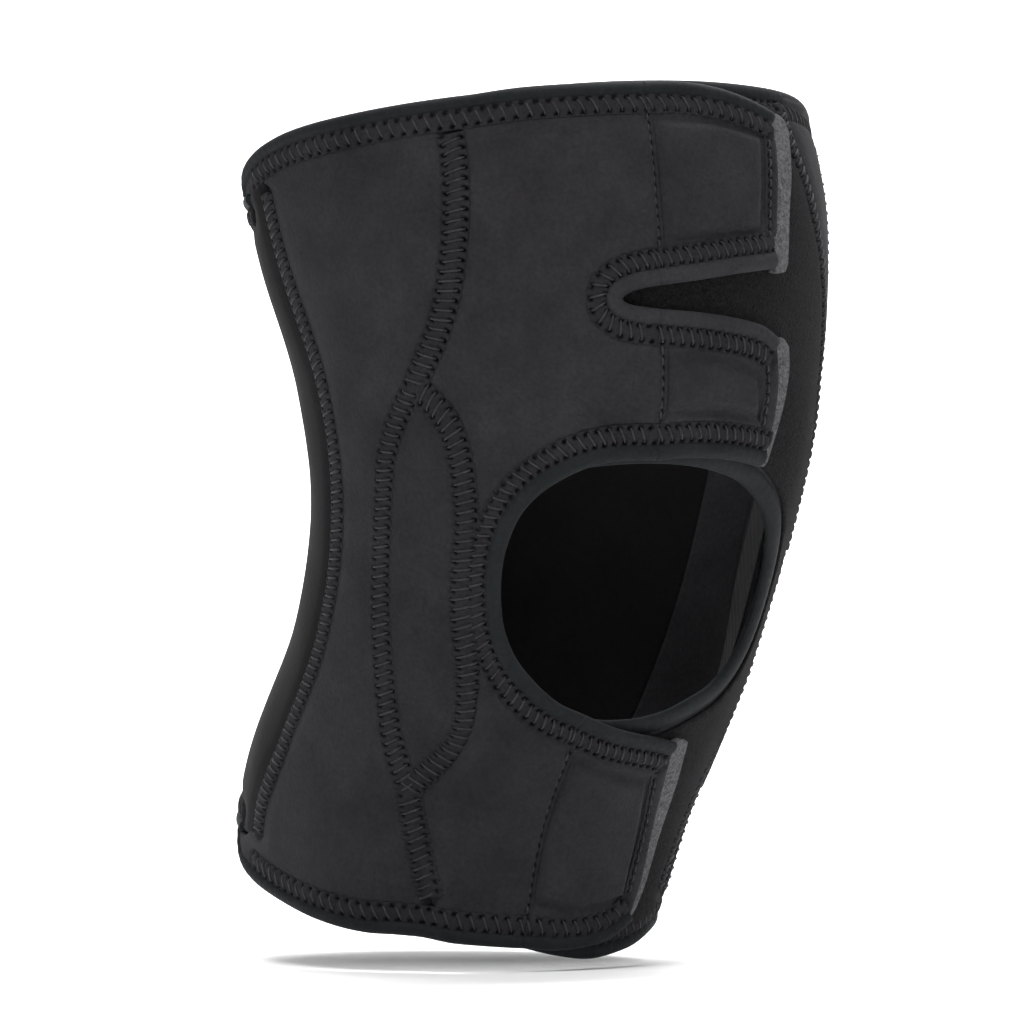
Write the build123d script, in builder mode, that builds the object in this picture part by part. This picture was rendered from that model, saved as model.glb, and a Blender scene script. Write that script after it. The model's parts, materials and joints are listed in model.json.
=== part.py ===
from build123d import *
from math import ceil, cos, degrees, radians, sin
import os

os.makedirs("parts", exist_ok=True)

# Knee brace for a right knee, shaped as it is worn, with the knee bent by about 25 degrees.
# Frame: +Z up the leg, -Y to the front, -X to the outer (lateral) side, origin at the knee centre.
# A place on the brace is (angle, height, layer). The angle runs round the leg in degrees: 90 is
# the back, 180 the lateral side, 270 the front and 360 the medial side. The height runs along
# the leg form, and the layer is the distance out from the skin.

# ---- overall sizes, mm ----
upper_height = 102.0
lower_height = 104.0
girth_grade = 1.0

# ---- leg form: height, centre y, tilt, half width, depth to the front, depth to the back ----
form = [
    (-lower_height, 43.5, -16.0, 51.0, 46.5, 68.5),
    (-0.67 * lower_height, 35.0, -13.0, 57.0, 49.0, 61.0),
    (-0.34 * lower_height, 18.5, -7.0, 58.0, 54.5, 58.0),
    (0.0, 7.0, -1.0, 60.5, 61.0, 57.0),
    (0.34 * upper_height, 3.5, 5.5, 67.0, 68.0, 59.5),
    (0.69 * upper_height, 9.5, 8.5, 73.5, 73.0, 63.5),
    (upper_height, 18.0, 9.0, 75.0, 72.0, 66.5),
]

# ---- sheet goods, mm ----
fabric = 3.0
medial_fabric = 2.2
loop_pile = 0.8
hook_sheet = 0.9
tab_fabric = 2.6
felt = 1.6
seam_gap = 0.3
layer_gap = 0.2

# ---- edge tapes ----
hem_height = 2.2
hem_proud = 0.4
binding_radius = 2.2
medial_binding_radius = 1.5
rear_inset_top = 10.0
rear_inset_bottom = 7.0

# ---- patella opening ----
opening_angle = 264.0
opening_height = -16.0
opening_half_angle = 41.5
opening_half_height = 28.5

# ---- tabs and the slot between the upper two ----
root_angle = 254.5
slot_height = 47.0
slot_end_angle = 245.0
slot_half = 2.6
slot_spread = 4.0
tab_tip_angle = 285.0
tip_rounding = 5.0
pull_strip_length = 7.0
hook_margin_angle = 3.0
hook_margin = 5.0

# ---- wrap: the lateral panel climbs over the free edge of the medial one ----
ramp_start = 222.0
ramp_end = 234.0
medial_free_edge = 236.0

# ---- side gussets and the stays inside them ----
gusset_top = 31.0
gusset_bottom = -66.0
gusset_tip = 2.0
stay_width = 6.0
stay_thickness = 2.0
stay_inset = 6.0
cap_length = 3.0
pocket_width = 14.0
pocket_tape = 0.6

# ---- values that follow ----
wrap_lift = medial_fabric + loop_pile + 2 * layer_gap
binding_band = 2 * binding_radius
cut_clear = binding_band + 2 * seam_gap
zone_margin = cut_clear + 0.6
zone_top = opening_height + opening_half_height + zone_margin
zone_bottom = opening_height - opening_half_height - zone_margin
hook_inner = medial_fabric + loop_pile + 2 * layer_gap - 0.1
tab_inner = hook_inner + hook_sheet + layer_gap
tab_outer = tab_inner + tab_fabric
panel_top = upper_height - hem_height - seam_gap
panel_bottom = -lower_height + hem_height + seam_gap
mirror_sum = 540.0
level_step = 8
fine_step = 4


def smooth(rows, height):
    # Values at a height, on a smooth curve through rows of (height, value, value, ...)
    last = len(rows) - 1
    inside = [i for i in range(last) if rows[i][0] <= height]
    i = inside[-1] if inside else 0
    span = rows[i + 1][0] - rows[i][0]
    s = (height - rows[i][0]) / span

    def slope(k, column):
        low, high = rows[max(k - 1, 0)], rows[min(k + 1, last)]
        return (high[column] - low[column]) / (high[0] - low[0])

    values = []
    for column in range(1, len(rows[0])):
        values.append(
            (2 * s**3 - 3 * s**2 + 1) * rows[i][column]
            + (s**3 - 2 * s**2 + s) * span * slope(i, column)
            + (3 * s**2 - 2 * s**3) * rows[i + 1][column]
            + (s**3 - s**2) * span * slope(i + 1, column)
        )
    return values


def ring_point(angle, height, layer):
    # The point in the plane of its own level: x to the medial side, y to the back
    _, _, half_width, front, back = smooth(form, height)
    depth = back if sin(radians(angle)) > 0 else front
    x = (half_width * girth_grade + layer) * cos(radians(angle))
    y = (depth * girth_grade + layer) * sin(radians(angle))
    return x, y


def level(height):
    centre_y, tilt = smooth(form, height)[:2]
    normal = (0, sin(radians(tilt)), cos(radians(tilt)))
    return Plane(origin=(0, centre_y, height), x_dir=(1, 0, 0), z_dir=normal)


def place(angle, height, layer):
    x, y = ring_point(angle, height, layer)
    return level(height).from_local_coords(Vector(x, y, 0))


def around(length, height):
    # The angle that a length along the skin takes up at a height
    half_width = smooth(form, height)[2] * girth_grade
    return degrees(length / half_width)


def limit(edge, height):
    return edge(height) if callable(edge) else edge


def seam(*rows):
    # An edge that runs up the brace: rows of (height, angle)
    return lambda height: smooth(rows, height)[0]


def mirrored(edge):
    return lambda height: mirror_sum - limit(edge, height)


def turned_back(edge):
    return lambda height: edge(height) - 360


def shifted(edge, length):
    return lambda height: limit(edge, height) + around(length, height)


def lift(angle):
    # How far the lateral panel stands off the skin where the medial panel lies under it
    s = min(max((angle - ramp_start) / (ramp_end - ramp_start), 0.0), 1.0)
    return wrap_lift * s * s * (3 - 2 * s)


def no_lift(angle):
    return 0.0


def save(piece, name):
    piece.part.label = name
    export_step(piece.part, f"parts/{name}.step")


def levels(bottom, top, step):
    # Heights to loft through: neighbours share them, so that their edges follow each other
    shared = [step * i for i in range(ceil(bottom / step), ceil(top / step))]
    shared += [gusset_bottom, gusset_top]
    return [bottom] + sorted(h for h in shared if bottom + 1 < h < top - 1) + [top]


def sheet(name, bottom, top, start, end, inner, outer, rise=no_lift, cutter=None, step=level_step):
    # One piece of sheet goods: a band between two edges and two layers, lofted up the leg form
    heights = levels(bottom, top, step)
    widest = max(limit(end, h) - limit(start, h) for h in heights)
    columns = max(3, ceil(widest / 7))
    with BuildPart() as piece:
        for h in heights:
            first, last = limit(start, h), limit(end, h)
            angles = [first + (last - first) * i / columns for i in range(columns + 1)]
            inside = [ring_point(a, h, inner + rise(a)) for a in angles]
            outside = [ring_point(a, h, outer + rise(a)) for a in angles]
            with BuildSketch(level(h)):
                with BuildLine():
                    Spline(*inside)
                    Line(inside[-1], outside[-1])
                    Spline(*reversed(outside))
                    Line(outside[0], inside[0])
                make_face()
        loft(ruled=True)
        if cutter is not None:
            add(cutter, mode=Mode.SUBTRACT)
    save(piece, name)


def binding(name, route, radius):
    # A rolled edge tape: a round section swept along a route of (angle, height, layer)
    points = [place(*stop) for stop in route]
    with BuildPart() as piece:
        with BuildLine() as line:
            path = Spline(*points)
        with BuildSketch(Plane(origin=path @ 0, z_dir=path % 0)):
            Circle(radius)
        sweep(path=line.line)
    save(piece, name)


# ---- seams ----
rear_seam = seam(
    (-lower_height, 160),
    (-0.62 * lower_height, 169),
    (-20, 172),
    (20, 171),
    (0.6 * upper_height, 166),
    (upper_height, 166),
)
side_seam_upper = seam(
    (gusset_top, 200),
    (gusset_top + 14, 208),
    (gusset_top + 30, 214),
    (upper_height, 218),
)
side_seam_lower = seam(
    (-lower_height, 228),
    (gusset_bottom - 10, 220),
    (gusset_bottom, 216),
)
gusset_rear_curve = seam(
    (gusset_bottom, 216),
    (-53, 206),
    (-34, 196),
    (-12, 190),
    (11, 190),
    (gusset_top, 200),
)
gusset_front_curve = seam(
    (gusset_bottom, 216),
    (-53, 225),
    (-39, 222),
    (-20, 215),
    (3, 212),
    (20, 208),
    (gusset_top, 200),
)


def gusset_edge(curve, height):
    # The side seam, which splits round the gusset between its two tips
    if height >= gusset_top:
        return side_seam_upper(height)
    if height <= gusset_bottom:
        return side_seam_lower(height)
    return curve(height)


def gusset_rear_edge(height):
    return gusset_edge(gusset_rear_curve, height)


def gusset_front_edge(height):
    return gusset_edge(gusset_front_curve, height)


loop_edge = seam(
    (zone_top - 4, 318),
    (0.41 * upper_height, 313),
    (0.53 * upper_height, 310),
    (0.72 * upper_height, 302),
    (upper_height, 293),
)


# ---- cutters for the patella opening and the slot ----
def opening_outline(turn, clear):
    # A point on the opening's outline, grown by a clearance, at a turn round its centre
    half_angle = opening_half_angle + around(clear, opening_height)
    angle = opening_angle + half_angle * cos(radians(turn))
    height = opening_height + (opening_half_height + clear) * sin(radians(turn))
    return angle, height


def opening_section(reach):
    # The outline where rays from the leg's axis meet the plane at this y, wider farther out
    axis_y = smooth(form, opening_height)[0]
    points = []
    for turn in range(0, 360, 6):
        corner = place(*opening_outline(turn, cut_clear), fabric)
        points.append((corner.X * (reach - axis_y) / (corner.Y - axis_y), corner.Z))
    return points


opening_front = place(opening_angle, opening_height, 0).Y - 30
opening_back = place(opening_angle, opening_height, 0).Y + 45
with BuildPart() as opening_cutter:
    for reach in (opening_back, opening_front):
        with BuildSketch(Plane.XZ.offset(-reach)):
            with BuildLine():
                Polyline(*opening_section(reach), close=True)
            make_face()
    loft(ruled=True)

slot_middle = place(slot_end_angle, slot_height, wrap_lift)
slot_normal = place(slot_end_angle, slot_height, wrap_lift + 1) - slot_middle
slot_reach = 2 * (place(root_angle, slot_height, wrap_lift) - slot_middle).length
slot_cut_radius = slot_half + binding_band + 3 * seam_gap
slot_plane = Plane(origin=slot_middle, x_dir=slot_normal.cross(Vector(0, 0, -1)), z_dir=slot_normal)
with BuildPart() as slot_cutter:
    with BuildSketch(slot_plane):
        Circle(slot_cut_radius)
        with Locations((slot_reach / 2, 0)):
            Rectangle(slot_reach, 2 * slot_cut_radius)
    extrude(amount=4 * fabric, both=True)

# ---- fabric panels, each in a thigh, a knee and a calf length ----
zones = {
    "thigh": (zone_top + seam_gap / 2, panel_top),
    "knee": (zone_bottom + seam_gap / 2, zone_top - seam_gap / 2),
    "calf": (panel_bottom, zone_bottom - seam_gap / 2),
}
lateral_root = shifted(root_angle, -seam_gap / 2)
panels = {
    "lateral_rear_panel": (shifted(rear_seam, seam_gap / 2), shifted(gusset_rear_edge, -seam_gap / 2)),
    "lateral_front_panel": (shifted(gusset_front_edge, seam_gap / 2), lateral_root),
    "medial_front_panel": (medial_free_edge, shifted(mirrored(gusset_front_edge), -seam_gap / 2)),
    "medial_rear_panel": (
        shifted(mirrored(gusset_rear_edge), seam_gap / 2),
        shifted(mirrored(rear_seam), -seam_gap / 2),
    ),
}
cutters = {
    ("lateral_front_panel", "thigh"): slot_cutter.part,
    ("lateral_front_panel", "knee"): opening_cutter.part,
    ("medial_front_panel", "knee"): opening_cutter.part,
}
for panel, (start, end) in panels.items():
    for zone, (bottom, top) in zones.items():
        sheet(
            f"{panel}_{zone}",
            bottom,
            top,
            start,
            end,
            0.0,
            medial_fabric if panel == "medial_front_panel" else fabric,
            lift if panel == "lateral_front_panel" else no_lift,
            cutters.get((panel, zone)),
        )

rear_top = upper_height - rear_inset_top
rear_bottom = -lower_height + rear_inset_bottom
rear_zones = {
    "thigh": (zones["thigh"][0], rear_top - hem_height - seam_gap),
    "knee": zones["knee"],
    "calf": (rear_bottom + hem_height + seam_gap, zones["calf"][1]),
}
medial_rear_seam = turned_back(mirrored(rear_seam))
rear_start = shifted(medial_rear_seam, seam_gap / 2)
rear_end = shifted(rear_seam, -seam_gap / 2)
for zone, (bottom, top) in rear_zones.items():
    sheet(f"rear_panel_{zone}", bottom, top, rear_start, rear_end, 0.0, fabric)

# ---- side gussets: the pointed strips that hold the stays ----
gusset_zones = {
    "upper": (zones["thigh"][0], gusset_top - gusset_tip),
    "knee": zones["knee"],
    "lower": (gusset_bottom + gusset_tip, zones["calf"][1]),
}
gusset_start = shifted(gusset_rear_edge, seam_gap / 2)
gusset_end = shifted(gusset_front_edge, -seam_gap / 2)
for zone, (bottom, top) in gusset_zones.items():
    sheet(f"lateral_gusset_{zone}", bottom, top, gusset_start, gusset_end, 0.0, fabric)
    sheet(
        f"medial_gusset_{zone}", bottom, top, mirrored(gusset_end), mirrored(gusset_start), 0.0, fabric
    )


# ---- stays: a flat spring in a pocket behind each gusset, with a plastic cap on either end ----
def beside_centre(length):
    # An edge at a length beside the gusset's centre line
    return lambda height: (
        (gusset_rear_edge(height) + gusset_front_edge(height)) / 2 + around(length, height)
    )


stay_top = gusset_top - stay_inset
stay_bottom = gusset_bottom + stay_inset
stay_outer = -layer_gap
stay_inner = stay_outer - stay_thickness
pocket_outer = stay_inner - layer_gap
stay_pieces = {
    "stay": (stay_bottom, stay_top, stay_width, stay_inner, stay_outer),
    "stay_cap_upper": (stay_top + seam_gap, stay_top + cap_length, stay_width, stay_inner, stay_outer),
    "stay_cap_lower": (stay_bottom - cap_length, stay_bottom - seam_gap, stay_width, stay_inner, stay_outer),
    "stay_pocket": (
        stay_bottom - cap_length,
        stay_top + cap_length,
        pocket_width,
        pocket_outer - pocket_tape,
        pocket_outer,
    ),
}
for piece_name, (bottom, top, width, inner, outer) in stay_pieces.items():
    rear_side = beside_centre(-width / 2)
    front_side = beside_centre(width / 2)
    sheet(f"lateral_{piece_name}", bottom, top, rear_side, front_side, inner, outer)
    sheet(
        f"medial_{piece_name}", bottom, top, mirrored(front_side), mirrored(rear_side), inner, outer
    )

# ---- loop fields: the brushed sheet on the medial panel that the hooks grip ----
loop_inner = medial_fabric + layer_gap / 2
loop_outer = loop_inner + loop_pile
loop_start = medial_free_edge + 1
sheet(
    "loop_field_upper", zone_top + hook_margin, panel_top - 1, loop_start, loop_edge, loop_inner, loop_outer
)
sheet(
    "loop_field_lower",
    panel_bottom + 1,
    zone_bottom - 1,
    loop_start,
    shifted(mirrored(gusset_front_edge), -hook_margin),
    loop_inner,
    loop_outer,
)

# ---- hems: the tapes on the top and bottom edges ----
hem_inner = -hem_proud
hem_outer = fabric + hem_proud
medial_end = mirrored(shifted(rear_seam, seam_gap / 2))
for edge, low in (("top", upper_height - hem_height), ("bottom", -lower_height)):
    high = low + hem_height
    sheet(
        f"lateral_{edge}_hem",
        low,
        high,
        shifted(rear_seam, seam_gap / 2),
        lateral_root,
        hem_inner,
        hem_outer,
        lift,
    )
    sheet(
        f"medial_{edge}_hem",
        low,
        high,
        medial_free_edge,
        medial_end,
        hem_inner,
        medial_fabric + hem_proud,
    )
for edge, low in (("top", rear_top - hem_height), ("bottom", rear_bottom)):
    sheet(f"rear_{edge}_hem", low, low + hem_height, rear_start, rear_end, hem_inner, hem_outer)


# ---- rolled bindings on the patella opening and the slot ----
def opening_route(first, last, clear, layer, rise):
    stops = [first + (last - first) * i / 12 for i in range(13)]
    outline = [opening_outline(turn, clear) for turn in stops]
    return [(angle, height, layer + rise(angle)) for angle, height in outline]


lateral_route = opening_route(106, 252, binding_radius, fabric / 2 + layer_gap, lift)
binding("patella_binding_lateral", lateral_route, binding_radius)
medial_clear = cut_clear - seam_gap - medial_binding_radius
medial_route = opening_route(-100, 100, medial_clear, medial_fabric / 2, no_lift)
binding("patella_binding_medial", medial_route, medial_binding_radius)

slot_line = slot_half + binding_radius
slot_turn_angle = around(slot_line, slot_height)
slot_layer = loop_outer + layer_gap + binding_radius
slot_route = [(root_angle - 1.5, slot_height + slot_line, slot_layer)]
for turn in range(90, 271, 30):
    slot_route.append(
        (
            slot_end_angle + slot_turn_angle * cos(radians(turn)),
            slot_height + slot_line * sin(radians(turn)),
            slot_layer,
        )
    )
slot_route.append((root_angle - 1.5, slot_height - slot_line, slot_layer))
binding("slot_binding", slot_route, binding_radius)

# ---- tabs: fabric, hook sheet and felt pull strip, each turning on its root line ----
tab_root = shifted(root_angle, seam_gap / 2)
tip = tab_tip_angle
round_off = tip_rounding
tabs = {
    "upper_tab": seam(
        (slot_height + slot_half, tip - 4 * round_off),
        (slot_height + slot_half + slot_spread, tip - round_off),
        (0.7 * upper_height, tip - round_off + 1),
        (0.88 * upper_height, tip),
        (upper_height - round_off, tip),
        (upper_height, tip - round_off),
    ),
    "middle_tab": seam(
        (zone_top + seam_gap, tip),
        (zone_top + 6, tip + 1),
        (slot_height - slot_half - 2 * slot_spread, tip - 1),
        (slot_height - slot_half - slot_spread, tip - 3),
        (slot_height - slot_half, tip - 2 * round_off),
    ),
    "lower_tab": seam(
        (-lower_height, tip - 1.5 * round_off),
        (-lower_height + round_off, tip),
        (-0.8 * lower_height, tip + 1),
        (-0.66 * lower_height, tip),
        (zone_bottom - 3, tip - 3),
        (zone_bottom - seam_gap, tip - round_off),
    ),
}
tab_spans = {
    "upper_tab": (slot_height + slot_half, upper_height),
    "middle_tab": (zone_top + seam_gap, slot_height - slot_half),
    "lower_tab": (-lower_height, zone_bottom - seam_gap),
}
pull_spans = {
    "upper_tab": (slot_height + slot_half + slot_spread, upper_height - 2 * round_off),
    "middle_tab": (zone_top + seam_gap, slot_height - slot_half - 2 * slot_spread),
    "lower_tab": (-lower_height + 2 * round_off, zone_bottom - 3),
}
for tab, tip_edge in tabs.items():
    bottom, top = tab_spans[tab]
    sheet(tab, bottom, top, tab_root, tip_edge, tab_inner, tab_outer, step=fine_step)
    bottom, top = pull_spans[tab]
    strip_start = shifted(tip_edge, seam_gap)
    sheet(
        f"{tab}_pull_strip",
        bottom,
        top,
        strip_start,
        shifted(tip_edge, seam_gap + pull_strip_length),
        tab_inner + layer_gap,
        tab_inner + layer_gap + felt,
        step=fine_step,
    )
    sheet(
        f"{tab}_hook_sheet",
        bottom + hook_margin,
        top - hook_margin,
        root_angle + hook_margin_angle,
        shifted(tip_edge, -hook_margin),
        hook_inner,
        hook_inner + hook_sheet,
        step=fine_step,
    )
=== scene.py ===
import json
import math

import bpy
import numpy as np
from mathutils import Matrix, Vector, kdtree
from mathutils.geometry import delaunay_2d_cdt

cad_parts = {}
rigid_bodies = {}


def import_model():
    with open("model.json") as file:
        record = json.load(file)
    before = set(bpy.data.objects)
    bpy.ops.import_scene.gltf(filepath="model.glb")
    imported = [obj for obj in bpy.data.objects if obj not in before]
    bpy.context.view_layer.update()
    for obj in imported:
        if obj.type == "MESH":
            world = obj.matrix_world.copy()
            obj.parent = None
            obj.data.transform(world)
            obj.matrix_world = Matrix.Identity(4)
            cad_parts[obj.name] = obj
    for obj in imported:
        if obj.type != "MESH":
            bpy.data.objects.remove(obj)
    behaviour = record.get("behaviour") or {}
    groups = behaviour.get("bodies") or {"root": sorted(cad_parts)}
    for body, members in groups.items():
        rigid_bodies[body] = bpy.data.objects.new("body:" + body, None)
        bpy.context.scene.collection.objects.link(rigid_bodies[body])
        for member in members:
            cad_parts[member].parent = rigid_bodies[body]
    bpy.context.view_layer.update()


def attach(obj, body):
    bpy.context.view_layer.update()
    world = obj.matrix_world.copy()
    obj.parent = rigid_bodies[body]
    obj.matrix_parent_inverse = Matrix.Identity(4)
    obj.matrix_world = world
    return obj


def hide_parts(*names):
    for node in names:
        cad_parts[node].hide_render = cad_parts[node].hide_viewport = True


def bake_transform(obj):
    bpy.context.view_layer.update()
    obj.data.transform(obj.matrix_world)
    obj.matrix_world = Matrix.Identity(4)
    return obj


for spare in list(bpy.data.objects):
    bpy.data.objects.remove(spare)
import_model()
mm = 0.001

# leg form: the brace keeps the shape of the leg that it is worn on
# height, middle y, tilt, half width, depth to the front, depth to the back (mm and degrees)
legForm = np.array([
    (-104, 43.5, -16, 51, 46.5, 68.5),
    (-69.68, 35, -13, 57, 49, 61),
    (-35.36, 18.5, -7, 58, 54.5, 58),
    (0, 7, -1, 60.5, 61, 57),
    (34.68, 3.5, 5.5, 67, 68, 59.5),
    (70.38, 9.5, 8.5, 73.5, 73, 63.5),
    (102, 18, 9, 75, 72, 66.5),
], float)
skinPerDegree = 1.15  # mm of skin in one degree round the leg
sewLayer = 4  # mm out from the skin, where lengths along the cloth are measured
wrap = {"start": 222, "end": 234, "lift": 3.4, "tabStart": 255, "tabEnd": 261, "tabLift": 0.6}


def smoothStep(t):
    t = np.clip(t, 0, 1)
    return t * t * (3 - 2 * t)


def alongRows(rows, at):
    # smooth values between rows whose first column is the position
    at = np.asarray(at, float)
    last = len(rows) - 1
    k = np.arange(len(rows))
    low, high = rows[np.maximum(k - 1, 0)], rows[np.minimum(k + 1, last)]
    slope = (high - low) / (high[:, :1] - low[:, :1])
    i = np.clip(np.searchsorted(rows[:, 0], at, side="right") - 1, 0, last - 1)
    span = (rows[i + 1, 0] - rows[i, 0])[..., None]
    s = (at - rows[i, 0])[..., None] / span
    value = (2 * s**3 - 3 * s**2 + 1) * rows[i] + (s**3 - 2 * s**2 + s) * span * slope[i]
    value = value + (3 * s**2 - 2 * s**3) * rows[i + 1] + (s**3 - s**2) * span * slope[i + 1]
    return value[..., 1:]


# where the worn brace stands further out than its form: height and mm, in a window round the leg
swells = (
    {"centre": 325, "flat": 18, "ease": 25, "rows": np.array([
        (-104, 1.0), (-77, 1.2), (-63, 2.1), (-48, 2.8), (-20, 3.0), (10, 3.0), (23, 2.1), (32, 1.1),
        (60, 0.6), (104, 0.8)], float)},
    {"centre": 140, "flat": 12, "ease": 22, "rows": np.array([
        (-104, 1.4), (-85, 1.4), (-60, 0.2), (-20, -0.4), (10, 0.4), (30, 0.9), (60, 1.3), (104, 1.6),
    ], float)},
)


def formSwell(angle, height):
    out = 0
    for swell in swells:
        off = np.abs((angle - swell["centre"] + 180) % 360 - 180)
        window = 1 - smoothStep((off - swell["flat"]) / swell["ease"])
        out = out + window * alongRows(swell["rows"], height)[..., 0]
    return out


# slow swells of worn fabric: depth and run of the broad and the fine ones, in mm
waves = {"broad": 0.30, "broadRun": 15, "fine": 0.16, "fineRun": 8.5, "drift": 31}


def softWave(angle, height):
    a = np.radians(angle)
    broad = waves["broad"] * np.sin(height / waves["broadRun"] + 1.8 * np.sin(3 * a)) * np.cos(2 * a + 0.6)
    fine = waves["fine"] * np.sin(height / waves["fineRun"] + 5 * a) * np.sin(7 * a + height / waves["drift"])
    return broad + fine


def place(angle, height, layer):
    # a point of the brace: angle round the leg, height up it, layer out from the skin
    angle, height, layer = np.broadcast_arrays(
        np.asarray(angle, float), np.asarray(height, float), np.asarray(layer, float)
    )
    middle, tilt, half, front, back = np.moveaxis(alongRows(legForm, height), -1, 0)
    a, k = np.radians(angle), np.radians(tilt)
    out = layer + softWave(angle, height) + formSwell(angle, height)
    depth = (np.where(np.sin(a) > 0, back, front) + out) * np.sin(a)
    x = (half + out) * np.cos(a)
    return np.stack([x, middle + depth * np.cos(k), height - depth * np.sin(k)], -1) * mm


def unit(v):
    return v / np.maximum(np.linalg.norm(v, axis=-1, keepdims=True), 1e-12)


def surfaceAxes(angle, height, layer):
    d = 0.05
    across = (place(angle + d, height, layer) - place(angle - d, height, layer)) / (2 * d)
    up = (place(angle, height + d, layer) - place(angle, height - d, layer)) / (2 * d)
    return across, up, unit(np.cross(across, up))


def wrapRise(angle, height):
    # the lateral panel climbs over the medial one, and its tabs lie on the loop pile
    over = wrap["lift"] * smoothStep((angle - wrap["start"]) / (wrap["end"] - wrap["start"]))
    tab = smoothStep((angle - wrap["tabStart"]) / (wrap["tabEnd"] - wrap["tabStart"]))
    return over + wrap["tabLift"] * tab


def noRise(angle, height):
    return 0 * angle


# the medial panel is thin under the tabs and thicker past the loop seam: mm, and degrees from the seam
medialStep = {"lift": 0.8, "from": 0.5, "over": 3.5}


def medialRise(angle, height):
    seamAt = alongRows(np.array([(h, a) for a, h in loopSeamFull], float), height)[..., 0]
    return medialStep["lift"] * smoothStep((angle - seamAt - medialStep["from"]) / medialStep["over"])


def lengthAlong(route):
    # the length run at each (angle, height) point of a line, in mm
    points = place(route[:, 0], route[:, 1], sewLayer)
    return np.concatenate([[0], np.cumsum(np.linalg.norm(np.diff(points, axis=0), axis=1))]) / mm


def routeOf(stops, spacing):
    # a smooth line through (angle, height) stops, cut into equal lengths
    stops = np.array(stops, float)
    step = np.linalg.norm(np.diff(stops * (skinPerDegree, 1), axis=0), axis=1)
    at = np.concatenate([[0], np.cumsum(step)])
    fine = alongRows(np.column_stack([at, stops]), np.linspace(0, at[-1], 40 * len(stops)))
    run = lengthAlong(fine)
    cut = np.linspace(0, run[-1], max(2, round(run[-1] / spacing)) + 1)
    return np.column_stack([np.interp(cut, run, fine[:, 0]), np.interp(cut, run, fine[:, 1])])


def mirrorStops(stops):
    return [(540 - a, h) for a, h in stops]


# seam and edge lines, as (angle, height) stops
rearSeam = [(160, -99), (162, -85), (169, -64), (172, -24), (171.5, 3), (170, 30), (166.5, 58), (166, 90)]
sideSeamTop = [(200, 31), (208, 45), (213.5, 61), (217, 80), (218, 97.8)]
sideSeamBottom = [(228.6, -100.6), (221.5, -80), (216, -66)]
gussetRear = [(216, -66), (206, -53), (196, -34), (190, -12), (190, 11), (194, 22), (200, 31)]
gussetFront = [(216, -66), (225, -53), (222, -39), (215, -20), (212, 3), (208, 20), (200, 31)]
loopSeamFull = [
    (309, -100), (312, -66), (320, -40), (321.5, -20), (318, 14), (313, 42), (302, 73), (293, 100),
]
loopSeam = [(320.6, -8), (319.6, 3), (318, 14), (313, 42), (310, 54), (302, 73), (297, 85), (294, 97)]
loopSeamLow = [(315.4, -54), (312, -66), (309, -80), (306.4, -91.4)]
upperRoot = [(253.4, 51.2), (253.8, 60), (254.2, 70), (255.2, 85), (256.2, 97.6)]
middleRoot = [(254.6, 13.5), (254.2, 24), (253.6, 34), (253.2, 42)]
lowerRoot = [(252, -99.8), (252.3, -85), (252.5, -70), (252.6, -46)]
topEdge = [(256.2, 97.6), (240, 97.6), (218, 97.8), (196, 97.8), (180, 97.6), (168, 96.6), (159, 94.4)]
topCorner = [(154, 91.8), (152, 88.6)]
bottomEdge = [
    (252, -99.8), (240, -100), (228, -100.6), (216, -101.8), (206, -103.4), (195, -104.4), (180, -105),
    (168, -105.2), (158, -104.6),
]
bottomCorner = [(150, -102.8), (146.5, -99.8), (146, -96)]
openingLateral = [
    (252.6, -46), (245, -43.6), (237, -39), (230, -33), (224.6, -25), (221.6, -15), (221.4, -7),
    (223.6, 0.5), (228, 6), (234, 10), (240, 12.4), (246, 13.4), (254.6, 13.5),
]
openingMedial = [
    (238, 12.0), (247, 12.8), (256, 13.0), (266, 12.4), (275, 11), (284, 8.8), (291, 5.6), (297.5, 1),
    (302.5, -6), (305.5, -15), (305.5, -25), (302.5, -33), (296.5, -39.5), (289, -43), (280, -46),
    (268, -47.6), (254, -47.2), (240, -44),
]
slotEnd = [
    (253.4, 51.2), (250, 50.7), (247, 49.8), (244.8, 48.3), (244, 46.4), (244.8, 44.5), (247, 43.2),
    (250, 42.5), (253.2, 42),
]
upperTabLip = [(253.4, 51.2), (262, 52.3), (271, 53.8), (281.5, 55.4)]
upperTabTop = [(256.2, 97.6), (264, 97.4), (272, 96.2), (279, 94.2), (286, 91.4)]
upperTabEnd = [(281.5, 55.4), (282.6, 66), (284.6, 80), (286, 91.4)]
middleTabTop = [(253.2, 42), (262, 41), (271, 39.8), (278, 38.4), (282.6, 36.2)]
middleTabLip = [(254.6, 13.5), (262, 14), (270, 13.9), (278, 13.2), (284.6, 12.2)]
middleTabEnd = [(284.6, 12.2), (285.2, 20), (284.6, 28), (282.6, 36.2)]
lowerTabTop = [(252.6, -46), (261, -48.6), (269, -50.2), (277, -51.4), (283, -52.6)]
lowerTabBottom = [(252, -99.8), (262, -99.8), (272, -99), (280, -97.2), (285.5, -94)]
lowerTabEnd = [(285.5, -94), (287, -84), (286.2, -70), (283, -52.6)]
medialTopEdge = [(237, 98.2), (256, 98.6), (275, 98.8), (294, 98.8), (310, 98.4)] + mirrorStops(topEdge[2:])
medialTopCorner = mirrorStops(topCorner)
medialBottomEdge = [(238, -98.8), (252, -100.4), (266, -102.6), (280, -104), (294, -103), (308, -101.2)]
medialBottomEdge += mirrorStops(bottomEdge[3:])
medialBottomCorner = mirrorStops(bottomCorner)
rearTopEdge = [(25, 87), (45, 88.8), (90, 90), (135, 88.8), (155, 87)]
rearBottomEdge = [(30, -94.6), (45, -95.6), (90, -96), (135, -95.6), (149, -94.6)]


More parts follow.
